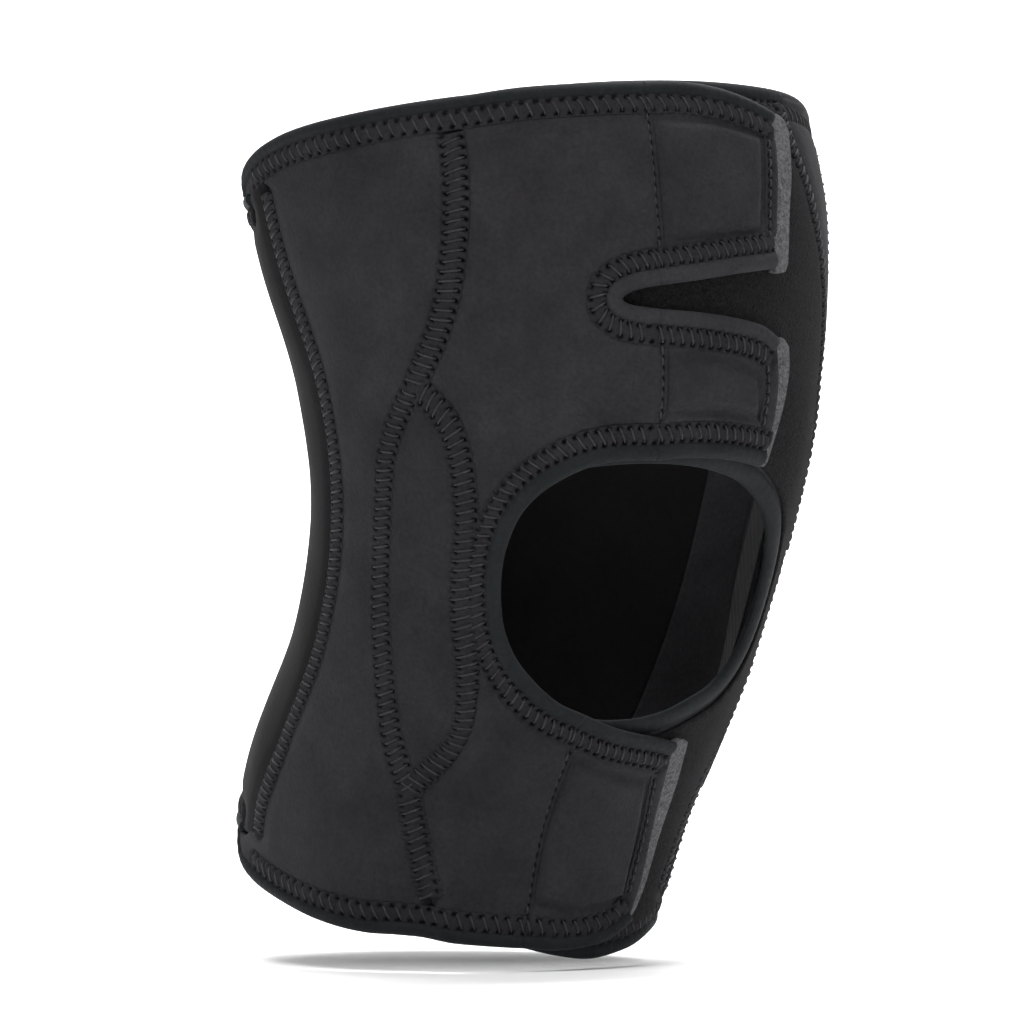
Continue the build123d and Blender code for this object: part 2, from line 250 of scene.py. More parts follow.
def partOf(stops, low, high, axis):
    # the part of a line between two angles (axis 0) or two heights (axis 1)
    return [tuple(p) for p in routeOf(stops, 2.0).tolist() if low <= p[axis] <= high]


topFront, topRear = partOf(topEdge, 218, 257, 0), partOf(topEdge + topCorner, 140, 218, 0)
bottomFront, bottomRear = partOf(bottomEdge, 228.6, 253, 0), partOf(bottomEdge + bottomCorner, 140, 228.6, 0)
medialTopFront = partOf(medialTopEdge, 230, 322, 0)
medialBottomFront = partOf(medialBottomEdge, 230, 311.4, 0)
rearSeamSewn = partOf(rearSeam, -93, 87, 1)
sideSeamTopSewn, sideSeamBottomSewn = partOf(sideSeamTop, 30, 91.6, 1), partOf(sideSeamBottom, -92, -65, 1)


# small helpers: colours, nodes, meshes
def srgb(code):
    # sRGB hex to linear
    parts = [int(code[i:i + 2], 16) / 255 for i in (1, 3, 5)]
    return tuple(c / 12.92 if c <= 0.04045 else ((c + 0.055) / 1.055) ** 2.4 for c in parts) + (1.0,)


def addNode(tree, kind, sockets=None, **settings):
    node = tree.nodes.new(kind)
    for key, value in settings.items():
        setattr(node, key, value)
    for key, value in (sockets or {}).items():
        if isinstance(value, bpy.types.NodeSocket):
            tree.links.new(value, node.inputs[key])
        else:
            node.inputs[key].default_value = value
    return node


def newMaterial(name):
    material = bpy.data.materials.new(name)
    material.use_nodes = True
    tree = material.node_tree
    return material, tree, tree.nodes["Principled BSDF"]


def makeMesh(name, points, faces, uv=None, marks=None):
    mesh = bpy.data.meshes.new(name)
    mesh.from_pydata(np.asarray(points).tolist(), [], faces)
    if uv is not None:
        layer = mesh.uv_layers.new(name="cloth")
        corner = np.zeros(len(mesh.loops), np.int32)
        mesh.loops.foreach_get("vertex_index", corner)
        layer.data.foreach_set("uv", (np.asarray(uv, np.float32) * mm)[corner].ravel())
    for key, values in (marks or {}).items():
        kind = "FLOAT" if np.ndim(values) == 1 else "FLOAT_VECTOR"
        attribute = mesh.attributes.new(key, kind, "POINT")
        field = "value" if kind == "FLOAT" else "vector"
        attribute.data.foreach_set(field, np.asarray(values, np.float32).ravel())
    mesh.polygons.foreach_set("use_smooth", np.ones(len(mesh.polygons), bool))
    mesh.validate()
    mesh.update()
    return mesh


def addPiece(name, mesh, material):
    piece = bpy.data.objects.new(name, mesh)
    bpy.context.scene.collection.objects.link(piece)
    mesh.materials.clear()
    mesh.materials.append(material)
    return piece


def joinArrays(parts):
    # several (points, faces, uv, marks) as one
    points, faces, uv, marks, start = [], [], [], {}, 0
    for p, f, u, m in parts:
        points.append(p)
        faces += [tuple(i + start for i in face) for face in f]
        uv.append(u)
        for key, values in m.items():
            marks.setdefault(key, []).append(values)
        start += len(p)
    return np.concatenate(points), faces, np.concatenate(uv), {k: np.concatenate(v) for k, v in marks.items()}


def sectionAxes(route, layer):
    # how far angle and height change for 1 mm sideways, with the left of the run first
    angle, height = route.T
    across, up, out = surfaceAxes(angle, height, layer)
    run = unit(np.gradient(place(angle, height, layer), axis=0))
    side = np.cross(out, run)
    aa, ab, bb = (across * across).sum(1), (across * up).sum(1), (up * up).sum(1)
    sa, sb = (side * across).sum(1) * mm, (side * up).sum(1) * mm
    det = aa * bb - ab * ab
    return (sa * bb - sb * ab) / det, (sb * aa - sa * ab) / det


def sweepSection(route, sides, outs, layer, rise, paintedHoleShades=None):
    # sides and outs: (stations, section points), anticlockwise when the run goes away from the eye
    turn, lift = sectionAxes(route, layer)
    angle = route[:, :1] + turn[:, None] * sides
    height = route[:, 1:] + lift[:, None] * sides
    points = place(angle, height, layer + rise(angle, height) + outs)
    n, m = sides.shape
    i, j = np.meshgrid(np.arange(n - 1), np.arange(m), indexing="ij")
    k = (j + 1) % m
    quads = np.stack([i * m + j, i * m + k, (i + 1) * m + k, (i + 1) * m + j], -1).reshape(-1, 4)
    faces = [tuple(q) for q in quads.tolist()]
    faces.append(tuple(range(m - 1, -1, -1)))
    faces.append(tuple((n - 1) * m + q for q in range(m)))
    along = lengthAlong(route)
    uv = np.stack([np.repeat(along[:, None], m, 1), sides], -1).reshape(-1, 2)
    paintedHoleShades = np.zeros((n, m)) if paintedHoleShades is None else paintedHoleShades
    return points.reshape(-1, 3), faces, uv, {"paintedHoleShade": paintedHoleShades.ravel()}


def rollArrays(route, style, rise):
    # a rolled edge: an oval section that swells a little between the stitches
    turns = np.linspace(0, 2 * math.pi, style["sides"], endpoint=False)
    along = lengthAlong(route)
    swell = 1 + style["swell"] * np.cos(2 * math.pi * along / style["pitch"])[:, None]
    slow = 1 + style["sway"] * np.sin(along / style["swayRun"])[:, None]
    sides = style["halfWidth"] * np.cos(turns)[None] * slow
    outs = style["halfThick"] * np.sin(turns)[None] * swell
    return sweepSection(route, sides, outs + 0 * along[:, None], style["layer"], rise)


def bandArrays(route, style, rise):
    # a stitched band: a low pad with rows of slanted needle holes
    along = lengthAlong(route)
    half, pitch = style["halfWidth"], style["pitch"]
    top = np.linspace(half, -half, style["columns"])
    edge = 1 - (np.abs(top) / half) ** 4
    outs = np.repeat((style["crown"] * edge)[None], len(along), 0)
    # the needle holes are also marked, so that the shader paints shade into them
    paintedHoleShades = np.zeros_like(outs)
    for row, offset in enumerate(style["rows"]):
        phase = along[:, None] / pitch + 0.5 * (row % 2) - style["slant"] * (top - offset)[None] / pitch
        near = (phase - np.round(phase)) * pitch
        hole = np.exp(-((near / style["holeRun"]) ** 2) - (((top - offset)[None] / style["holeSide"]) ** 2))
        outs = outs - style["holeDepth"] * hole
        paintedHoleShades = np.maximum(paintedHoleShades, hole)
    ridge = top[None] * style["ridgeSlant"] / pitch + along[:, None] / pitch
    inside = np.exp(-((top / (0.75 * style["ridgeHalf"])) ** 4))[None]
    outs = outs + style["ridge"] * inside * np.cos(2 * math.pi * ridge)
    base = np.full((len(along), 1), -style["sink"])
    sides = np.concatenate([np.repeat(top[None], len(along), 0), base * 0 - half, base * 0 + half], 1)
    outs = np.concatenate([outs, base, base], 1)
    paintedHoleShades = np.concatenate([paintedHoleShades, base * 0, base * 0], 1)
    return sweepSection(route, sides, outs, style["layer"], rise, paintedHoleShades)


def insideOf(points, polygon):
    x, y = points[:, :1], points[:, 1:]
    x0, y0 = polygon[:, 0][None], polygon[:, 1][None]
    x1, y1 = np.roll(polygon[:, 0], -1)[None], np.roll(polygon[:, 1], -1)[None]
    spans = (y0 > y) != (y1 > y)
    with np.errstate(divide="ignore", invalid="ignore"):
        cross = x < (x1 - x0) * (y - y0) / (y1 - y0) + x0
    return (np.sum(spans & cross, 1) % 2).astype(bool)


def distancesTo(line, spots):
    # how far each flat spot is from the nearest point of a line
    tree = kdtree.KDTree(len(line))
    for i, (x, y) in enumerate(line):
        tree.insert((x, y, 0), i)
    tree.balance()
    return np.array([tree.find((x, y, 0))[2] for x, y in spots])


def closedOutline(parts, spacing):
    # joins edge lines into one ring of flat points
    ring = []
    for part in parts:
        route = routeOf(part, spacing)
        if ring and np.linalg.norm((route[0] - ring[-1]) * (skinPerDegree, 1)) > np.linalg.norm(
            (route[-1] - ring[-1]) * (skinPerDegree, 1)
        ):
            route = route[::-1]
        ring += list(route[:-1])
    ring = np.array(ring)
    flat = ring * (skinPerDegree, 1)
    area = np.sum(flat[:, 0] * np.roll(flat[:, 1], -1) - flat[:, 1] * np.roll(flat[:, 0], -1))
    return ring if area > 0 else ring[::-1]


# the grid inside a panel: row height over its step, room at the edge in steps, and the reach and step of the
# search round a seam, with the dip under a band starting a little inside the band's edge (mm), and how many
# rows a cloth's size is read from
clothGrid = {
    "rowHeight": 0.866, "edgeRoom": 0.6, "seamReach": 12, "seamStep": 1.2, "tuck": 1.6, "tuckEase": 1.2,
    "rowsRead": 60,
}


def panelArrays(parts, style, rise, grooves=(), patch=None):
    # a sheet of cloth between two layers, with dips where it is sewn and a raised patch
    ring = closedOutline(parts, style["grid"])
    flat = ring * (skinPerDegree, 1)
    low, high, step = flat.min(0), flat.max(0), style["grid"]
    rows = np.arange(low[1] + step, high[1], step * clothGrid["rowHeight"])
    inner = np.array([
        (x + (0.5 * step if i % 2 else 0), y)
        for i, y in enumerate(rows) for x in np.arange(low[0], high[0], step)
    ])
    inner = inner[insideOf(inner, flat)]
    inner = inner[distancesTo(flat, inner) > clothGrid["edgeRoom"] * step]
    spots = np.concatenate([flat, inner])
    count = len(flat)
    edges = [(i, (i + 1) % count) for i in range(count)]
    made = delaunay_2d_cdt([Vector(p) for p in spots.tolist()], edges, [], 0, 1e-5)
    spots, faces = np.array([v[:] for v in made[0]]), np.array(made[2])
    middle = spots[faces].mean(1)
    faces = faces[insideOf(middle, flat)]
    a, b, c = (spots[faces[:, i]] for i in range(3))
    turned = (b[:, 0] - a[:, 0]) * (c[:, 1] - a[:, 1]) - (b[:, 1] - a[:, 1]) * (c[:, 0] - a[:, 0])
    faces[turned < 0] = faces[turned < 0][:, ::-1]
    angle, height = spots[:, 0] / skinPerDegree, spots[:, 1]
    relief = np.zeros(len(spots))
    for stops, half in grooves:
        line = routeOf(stops, clothGrid["seamStep"]) * (skinPerDegree, 1)
        reach = clothGrid["seamReach"]
        near = np.nonzero(np.all((spots > line.min(0) - reach) & (spots < line.max(0) + reach), 1))[0]
        away = distancesTo(line, spots[near])
        dip = style["groove"] * (1 - smoothStep((away - half) / style["grooveEase"]))
        dip += style["under"] * (1 - smoothStep((away - half + clothGrid["tuck"]) / clothGrid["tuckEase"]))
        relief[near] = np.minimum(relief[near], -dip)
    if patch is not None:
        border = closedOutline(patch["outline"], 1.0) * (skinPerDegree, 1)
        away = distancesTo(border, spots)
        within = insideOf(spots, border)
        relief += np.where(within, patch["puff"] * smoothStep(away / patch["ease"]), 0)
        relief = relief - patch["groove"] * np.exp(-((away / patch["grooveHalf"]) ** 2))
    outer = place(angle, height, style["outer"] + rise(angle, height) + relief)
    under = place(angle, height, style["inner"] + rise(angle, height))
    total = len(spots)
    directed = {(f[i], f[(i + 1) % 3]) for f in faces.tolist() for i in range(3)}
    walls = [(q, p, p + total, q + total) for p, q in sorted(directed) if (q, p) not in directed]
    body = [tuple(f) for f in faces.tolist()]
    body += [tuple(i + total for i in f[::-1]) for f in faces.tolist()]
    uv = np.concatenate([spots, spots])
    marks = {"paintedHoleShade": np.zeros(2 * total)}
    return np.concatenate([outer, under]), body + walls, uv, marks


def clothSize(parts):
    # the flat cut that a piece is sewn from, read off the worn surface: widest row, length and area in metres
    ring = closedOutline(parts, 1.5)
    heights = np.linspace(ring[:, 1].min(), ring[:, 1].max(), clothGrid["rowsRead"])
    widths = []
    for height in heights[1:-1]:
        below = ring[:, 1] <= height
        crossed = np.nonzero(below != np.roll(below, -1))[0]
        ends = np.sort(ring[crossed, 0])
        lines = [
            place(np.linspace(a, b, 40), np.full(40, height), sewLayer) for a, b in zip(ends[::2], ends[1::2])
        ]
        widths.append(sum(np.linalg.norm(np.diff(line, axis=0), axis=1).sum() for line in lines))
    middle = (ring[:, 0].max() + ring[:, 0].min()) / 2
    line = place(np.full(len(heights), middle), heights, sewLayer)
    length = np.linalg.norm(np.diff(line, axis=0), axis=1).sum()
    return float(max(widths)), float(length), float(np.mean(widths) * length * (1 - 1 / len(heights)))


print("helpers ready")

# materials
def clothColour(tree, dark, light, spot, contrast=0.5):
    # two close colours in soft patches of a size in mm
    where = addNode(tree, "ShaderNodeTexCoord").outputs["Object"]
    noise = addNode(
        tree, "ShaderNodeTexNoise",
        {"Vector": where, "Scale": 1 / (spot * mm), "Detail": 4.0, "Roughness": 0.6},
    )
    spread = addNode(
        tree, "ShaderNodeMapRange",
        {"Value": noise.outputs["Fac"], "From Min": 0.5 - 0.5 * contrast, "From Max": 0.5 + 0.5 * contrast},
    )
    mix = addNode(
        tree, "ShaderNodeMix", {0: spread.outputs["Result"], 6: srgb(dark), 7: srgb(light)}, data_type="RGBA"
    )
    return where, mix.outputs[2]


def finishShader(tree, shader, colour, height, strength, depth, values, invert=False):
    # colour, a bump whose depth is in mm, and the plain values of the finish
    bump = addNode(
        tree, "ShaderNodeBump", {"Height": height, "Strength": strength, "Distance": depth * mm},
        invert=invert,
    )
    tree.links.new(colour, shader.inputs["Base Color"])
    tree.links.new(bump.outputs["Normal"], shader.inputs["Normal"])
    for name, value in values.items():
        shader.inputs[name].default_value = value


# painted shade in the needle holes: the colour is mixed towards near black as far as a band's hole mark
# reaches, times the given strength
def paintHoleShade(tree, colour, depth):
    paintedHoleShade = addNode(tree, "ShaderNodeAttribute", attribute_name="paintedHoleShade").outputs["Fac"]
    amount = addNode(tree, "ShaderNodeMath", {0: paintedHoleShade, 1: depth}, operation="MULTIPLY", use_clamp=True)
    mix = addNode(
        tree, "ShaderNodeMix", {0: amount.outputs[0], 6: colour, 7: srgb("#020202")}, data_type="RGBA"
    )
    return mix.outputs[2]


def makeJersey(name, look):
    # nylon jersey on neoprene: matt, faintly mottled, with a fine knit grain
    material, tree, shader = newMaterial(name)
    where, colour = clothColour(tree, look["dark"], look["light"], look["mottle"])
    grain = addNode(
        tree, "ShaderNodeTexVoronoi", {"Vector": where, "Scale": 1 / (look["knit"] * mm), "Randomness": 0.75}
    )
    fuzz = addNode(
        tree, "ShaderNodeTexNoise", {"Vector": where, "Scale": 1 / (look["fuzz"] * mm), "Detail": 3.0}
    )
    height = addNode(
        tree, "ShaderNodeMath", {0: grain.outputs["Distance"], 1: fuzz.outputs["Fac"]}, operation="ADD"
    )
    grainShade = addNode(
        tree, "ShaderNodeMapRange",
        {"Value": fuzz.outputs["Fac"], "From Min": 0.3, "From Max": 0.7, "To Min": 0.82, "To Max": 1.16},
    )
    shaded = addNode(
        tree, "ShaderNodeVectorMath", {0: colour, "Scale": grainShade.outputs["Result"]}, operation="SCALE"
    )
    # painted shade in the needle holes of the stitched bands
    colour = paintHoleShade(tree, shaded.outputs["Vector"], 1.3)
    finishShader(tree, shader, colour, height.outputs[0], look["bump"], 0.25, {
        "Roughness": look["roughness"], "IOR": 1.45, "Specular IOR Level": look["specular"],
        "Sheen Weight": look["sheen"], "Sheen Roughness": 0.5, "Sheen Tint": srgb("#8d8a90"),
    })
    return material


jerseyLook = {
    "dark": "#1d1c1f", "light": "#29282a", "mottle": 16, "knit": 0.8, "fuzz": 1.1, "bump": 0.45,
    "roughness": 0.85, "specular": 0.12, "sheen": 0.02,
}
neopreneJersey = makeJersey("neopreneJersey", jerseyLook)
# the rear panel's jersey is smoother and blacker than the others; part of its darkness is painted shade of the
# back of the brace, turned away from the light
smoothJerseyAndRearShade = makeJersey("smoothJerseyAndRearShade", {**jerseyLook, "dark": "#09090a", "light": "#0f0e10", "bump": 0.25})
# the gusset is a stretch knit, a little ribbed and a touch darker than the jersey
stretchKnit = makeJersey("stretchKnit", {**jerseyLook, "dark": "#1b1a1d", "light": "#262527", "knit": 1.1})
# binding tape: a tight smooth knit that is cooler and darker than the panels
bindingKnit = makeJersey(
    "bindingKnit", {**jerseyLook, "dark": "#111416", "light": "#1a1d1f", "bump": 0.3, "roughness": 0.72}
)
# the lips of the slot are rolled from the panel's own jersey; their colour is lighter than the panels as
# painted light on the lit rolls of the lips
litLipJersey = makeJersey("litLipJersey", {**jerseyLook, "dark": "#232225", "light": "#2e2d30", "bump": 0.35})
# stitched bands: jersey pulled down hard under the thread, coloured darker than the panels as painted shade of
# that groove
stitchedJerseyGrooveShade = makeJersey("stitchedJerseyGrooveShade", {**jerseyLook, "dark": "#1a191c", "light": "#252426"})


def makePile(name, dark, light, size, bump, deep):
    # loop pile or felt: short tangled fibres, so it is speckled, has no gloss and is soft at its edges
    material, tree, shader = newMaterial(name)
    where = addNode(tree, "ShaderNodeTexCoord").outputs["Object"]
    tangle = addNode(
        tree, "ShaderNodeTexNoise",
        {"Vector": where, "Scale": 1 / (size * mm), "Detail": 5.0, "Roughness": 0.75, "Distortion": 1.2},
    )
    tuft = addNode(tree, "ShaderNodeTexVoronoi", {"Vector": where, "Scale": 1 / (0.8 * size * mm)})
    spread = addNode(
        tree, "ShaderNodeMapRange", {"Value": tangle.outputs["Fac"], "From Min": 0.36, "From Max": 0.66}
    )
    mix = addNode(
        tree, "ShaderNodeMix", {0: spread.outputs["Result"], 6: srgb(dark), 7: srgb(light)}, data_type="RGBA"
    )
    # painted shade in needle holes, wherever a mesh marks any
    colour = paintHoleShade(tree, mix.outputs[2], 1.2)
    height = addNode(
        tree, "ShaderNodeMath", {0: tangle.outputs["Fac"], 1: tuft.outputs["Distance"]}, operation="SUBTRACT"
    )
    finishShader(tree, shader, colour, height.outputs[0], bump, deep, {
        "Roughness": 0.95, "Specular IOR Level": 0.05, "Sheen Weight": 0.02, "Sheen Roughness": 0.6,
    })
    return material


# the loop pile's near-black colours are partly its own dark colour and partly painted shade of the deep slot
# gap between the tabs
loopPileAndGapShade = makePile("brushedLoopPileAndGapShade", "#060606", "#211f21", 0.9, 0.6, 0.4)
pullFelt = makePile("pressedFelt", "#2c2c2e", "#68686b", 1.0, 0.6, 0.4)


def makeThread():
    # spun polyester thread: a dull twist that catches a little light along its top
    material, tree, shader = newMaterial("polyesterThread")
    where, colour = clothColour(tree, "#19181b", "#343337", 1.4)
    ply = addNode(tree, "ShaderNodeTexNoise", {"Vector": where, "Scale": 1 / (0.5 * mm), "Detail": 2.0})
    finishShader(tree, shader, colour, ply.outputs["Fac"], 0.5, 0.1, {
        "Roughness": 0.6, "Specular IOR Level": 0.2, "Sheen Weight": 0.02,
    })
    return material


thread = makeThread()


def makeTape():
    # woven polyester tape: flat twill ribs about a millimetre apart
    material, tree, shader = newMaterial("wovenTape")
    where, colour = clothColour(tree, "#1b1b1d", "#28282a", 5)
    ribs = addNode(
        tree, "ShaderNodeTexWave",
        {"Vector": addNode(tree, "ShaderNodeUVMap", uv_map="cloth").outputs["UV"], "Scale": 160.0,
         "Distortion": 0.3, "Detail": 1.0},
        bands_direction="DIAGONAL",
    )
    finishShader(tree, shader, colour, ribs.outputs["Fac"], 0.6, 0.2, {"Roughness": 0.8})
    return material


def makeHooks():
    # moulded nylon hooks on a woven base: hard little points with a plastic glint
    material, tree, shader = newMaterial("nylonHooks")
    where, colour = clothColour(tree, "#111112", "#2b2b2d", 2)
    points = addNode(
        tree, "ShaderNodeTexVoronoi", {"Vector": where, "Scale": 1 / (1.3 * mm), "Randomness": 0.25}
    )
    finish = {"Roughness": 0.38, "IOR": 1.53}
    finishShader(tree, shader, colour, points.outputs["Distance"], 0.9, 0.5, finish, invert=True)
    return material


def makeSteel():
    # cold rolled spring steel: bluish grey with fine rolling lines
    material, tree, shader = newMaterial("rolledSpringSteel")
    where = addNode(tree, "ShaderNodeTexCoord").outputs["Object"]
    long = addNode(tree, "ShaderNodeMapping", {"Vector": where, "Scale": (1.0, 1.0, 0.02)})
    lines = addNode(tree, "ShaderNodeTexNoise", {"Vector": long.outputs["Vector"], "Scale": 1 / (0.4 * mm)})
    spread = addNode(
        tree, "ShaderNodeMapRange", {"Value": lines.outputs["Fac"], "To Min": 0.25, "To Max": 0.45}
    )
    tree.links.new(spread.outputs["Result"], shader.inputs["Roughness"])
    mix = addNode(
        tree, "ShaderNodeMix", {0: lines.outputs["Fac"], 6: srgb("#7d8085"), 7: srgb("#9b9ea2")},
        data_type="RGBA",
    )
    tree.links.new(mix.outputs[2], shader.inputs["Base Color"])
    shader.inputs["Metallic"].default_value = 1.0
    return material


def makeCap():
    # vinyl dipped over the stay's end: soft gloss, slightly uneven
    material, tree, shader = newMaterial("dippedVinyl")
    where, colour = clothColour(tree, "#141415", "#1d1d1f", 4)
    uneven = addNode(tree, "ShaderNodeTexNoise", {"Vector": where, "Scale": 1 / (2.0 * mm)})
    finishShader(tree, shader, colour, uneven.outputs["Fac"], 0.3, 0.2, {"Roughness": 0.4, "IOR": 1.52})
    return material


tape, hooks, steel, vinyl = makeTape(), makeHooks(), makeSteel(), makeCap()
print("materials ready")

# stitched bands
bandStyle = {
    "halfWidth": 2.9, "columns": 21, "crown": 0.35, "sink": 1.0, "pitch": 3.4, "rows": (1.95, -1.95),
    "slant": 0.35, "turn": 0.25, "holeRun": 0.58, "holeSide": 0.62, "holeDepth": 1.5, "ridge": 0.08,
    "ridgeHalf": 2.0, "ridgeSlant": 0.6, "layer": 2.75, "spacing": 0.36,
}
seamStyle = {
    **bandStyle, "halfWidth": 3.8, "columns": 25, "rows": (2.7, -2.7), "slant": 0.3, "holeSide": 0.85,
    "holeRun": 0.5, "pitch": 2.6, "ridgeHalf": 2.4,
}
lipStyle = {**bandStyle, "pitch": 2.7}
rearSeamStyle = {**seamStyle, "rows": (2.2, -2.2), "halfWidth": 3.2, "holeSide": 0.6}
gussetRearStyle = {**seamStyle, "holeDepth": 1.0, "rows": (2.3, -2.3), "halfWidth": 3.4}
loopSeamStyle = {**seamStyle, "rows": (2.0, -2.0), "halfWidth": 2.9, "layer": 2.8}
rootStyle = {
    **bandStyle, "pitch": 2.8, "turn": 0.5, "halfWidth": 1.6, "columns": 13, "rows": (0.0,), "slant": 0.7,
    "crown": 0.15, "ridge": 0.05, "layer": 2.5, "ridgeHalf": 1.2, "holeDepth": 1.3, "holeSide": 0.55,
}
coarse = {"spacing": 0.6}  # for the rear and the medial side
coarseBand, coarseSeam = {**bandStyle, **coarse}, {**seamStyle, **coarse}
coarseRearSeam, medialBand = {**rearSeamStyle, **coarse}, {**coarseBand, "layer": 1.95}


def beside(stops, length):
    # a line at a length to the left of the run
    route = routeOf(stops, 3.0)
    turn, lift = sectionAxes(route, sewLayer)
    moved = route + np.column_stack([turn, lift]) * length
    return [tuple(p) for p in moved.tolist()]


hemInset, lipInset = 4.2, 4.45
bands = {
    "topBand": (beside(topEdge, hemInset), bandStyle, wrapRise, None),
    "bottomBand": (beside(bottomEdge, -hemInset), bandStyle, wrapRise, None),
    "openingBand": (beside(openingLateral, lipInset), lipStyle, wrapRise, None),
    "slotBand": (beside(slotEnd, -lipInset), lipStyle, wrapRise, None),
    "rearSeamBand": (rearSeamSewn, rearSeamStyle, noRise, None),
    "sideSeamTopBand": (sideSeamTopSewn, seamStyle, noRise, None),
    "sideSeamBottomBand": (sideSeamBottomSewn, seamStyle, wrapRise, None),
    "gussetFrontBand": (gussetFront, seamStyle, noRise, None),
    "gussetRearBand": (gussetRear, gussetRearStyle, noRise, None),
    "loopSeamBand": (loopSeam, loopSeamStyle, noRise, None),
    "loopSeamLowBand": (loopSeamLow, loopSeamStyle, noRise, None),
    "upperTabTopBand": (beside(upperTabTop, -hemInset), bandStyle, wrapRise, "upper_tab"),
    "upperTabLipBand": (beside(upperTabLip, lipInset), lipStyle, wrapRise, "upper_tab"),
    "middleTabTopBand": (beside(middleTabTop, -lipInset), lipStyle, wrapRise, "middle_tab"),
    "middleTabLipBand": (beside(middleTabLip, lipInset), lipStyle, wrapRise, "middle_tab"),
    "lowerTabTopBand": (beside(lowerTabTop, -lipInset), lipStyle, wrapRise, "lower_tab"),
    "lowerTabBottomBand": (beside(lowerTabBottom, hemInset), bandStyle, wrapRise, "lower_tab"),
    "upperRootBand": ([(253.9, 57.5), *upperRoot[2:4], (255.9, 92.5)], rootStyle, wrapRise, "upper_tab"),
    "middleRootBand": ([(254.4, 20), (254.1, 28), (253.6, 36)], rootStyle, wrapRise, "middle_tab"),
    "lowerRootBand": ([(252.2, -93), (252.4, -70), (252.6, -53)], rootStyle, wrapRise, "lower_tab"),
    "upperEndBand": ([(280.0, 60), (280.8, 68), (282.6, 80), (283.8, 88)], rootStyle, wrapRise, "upper_tab"),
    "middleEndBand": ([(282, 19), (281.8, 26), (280, 33)], rootStyle, wrapRise, "middle_tab"),
    "lowerEndBand": ([(283.4, -88), (283.6, -72), (280.6, -58)], rootStyle, wrapRise, "lower_tab"),
    "medialTopBand": (beside(medialTopEdge, -hemInset), medialBand, noRise, None),
    "medialBottomBand": (beside(medialBottomEdge, hemInset), medialBand, noRise, None),
    "rearTopBand": (beside(rearTopEdge, -hemInset), coarseBand, noRise, None),
    "rearBottomBand": (beside(rearBottomEdge, hemInset), coarseBand, noRise, None),
    "medialRearSeamBand": (mirrorStops(rearSeamSewn), coarseRearSeam, noRise, None),
    "medialSideTopBand": (mirrorStops(sideSeamTopSewn), coarseSeam, noRise, None),
    "medialSideBottomBand": (mirrorStops(sideSeamBottomSewn), coarseSeam, noRise, None),
    "medialGussetFrontBand": (mirrorStops(gussetFront), coarseSeam, noRise, None),
    "medialGussetRearBand": (mirrorStops(gussetRear), coarseSeam, noRise, None),
}
lateralSeams = ["sideSeamTopBand", "sideSeamBottomBand", "gussetFrontBand", "gussetRearBand"]
medialSeams = ["medialSideTopBand", "medialSideBottomBand", "medialGussetFrontBand", "medialGussetRearBand"]


def bendAtKnee(piece):
    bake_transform(piece)


tabFold = {
    "upper_tab": {"parent": "thigh_section", "height": 74, "root": 254.8},
    "middle_tab": {"parent": "thigh_section", "height": 28, "root": 253.9},
    "lower_tab": {"parent": "calf_section", "height": -73, "root": 254.4},
}
foldReach = {"before": 0.5, "after": 6.0, "layer": 5.0}  # degrees before and after the root, and mm out


def bendAtRoot(piece, tab):
    # bakes the piece's placement into its mesh; the two ends of a fold beside the tab's root line are worked
    # out but not used, so no fold is made
    fold = tabFold[tab]
    angles = np.array([fold["root"] - foldReach["before"], fold["root"] + foldReach["after"]])
    start, end = place(angles, fold["height"], foldReach["layer"])
    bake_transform(piece)


pieces = {}  # every piece that is sewn to another, by name


def sewPiece(name, arrays, material, nodes, tab):
    # a cloth piece, with its placement baked into its mesh; no bend is made at the knee or at a tab's root
    pieces[name] = piece = addPiece(name, makeMesh(name, *arrays), material)
    if nodes:
        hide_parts(*nodes)
    if tab is None:
        bendAtKnee(piece)
    else:
        bendAtRoot(piece, tab)


# panels
panelStyle = {"inner": 0.0, "outer": 3.0, "grid": 1.5, "groove": 0.45, "grooveEase": 4.5, "under": 1.2}
fineStyle = {**panelStyle, "grid": 1.1}
clothSizes = {}


def addPanel(name, parts, style, material, nodes, rise=noRise, sewn=(), patch=None, tab=None):
    grooves = [(bands[b][0], bands[b][1]["halfWidth"]) for b in sewn]
    sewPiece(name, panelArrays(parts, style, rise, grooves, patch), material, nodes, tab)
    clothSizes[name] = clothSize(parts)
    print(name, len(pieces[name].data.polygons), "faces")


def zones(panel, names=("thigh", "knee", "calf")):
    return [f"{panel}_{zone}" for zone in names]


addPanel(
    "lateralFrontPanel",
    [sideSeamBottom[::-1], bottomFront[::-1], lowerRoot, openingLateral, middleRoot, slotEnd[::-1], upperRoot,
     topFront, sideSeamTop[::-1], gussetFront[::-1]],
    fineStyle, neopreneJersey, zones("lateral_front_panel"), wrapRise,
    lateralSeams + ["topBand", "bottomBand", "openingBand", "slotBand"],
)
rearSide = [
    rearSeam[1:], [(166, 90), (160, 88.6), (152, 88.6)], topRear[::-1], sideSeamTop[::-1], gussetRear[::-1],
    sideSeamBottom[::-1], bottomRear, [(146, -96), (154, -95), (162, -85)],
]
gusset = [gussetFront, gussetRear[::-1]]
addPanel(
    "lateralRearPanel", rearSide, fineStyle, neopreneJersey, zones("lateral_rear_panel"),
    noRise,
    lateralSeams + ["rearSeamBand", "topBand", "bottomBand"],
)
addPanel(
    "lateralGusset", gusset, {**fineStyle, "groove": 0.4}, stretchKnit,
    zones("lateral_gusset", ("upper", "knee", "lower")), noRise, lateralSeams,
)
addPanel(
    "medialRearPanel", [mirrorStops(part) for part in rearSide], panelStyle, neopreneJersey,
    zones("medial_rear_panel"), noRise,
    medialSeams + ["medialRearSeamBand", "medialTopBand", "medialBottomBand"],
)
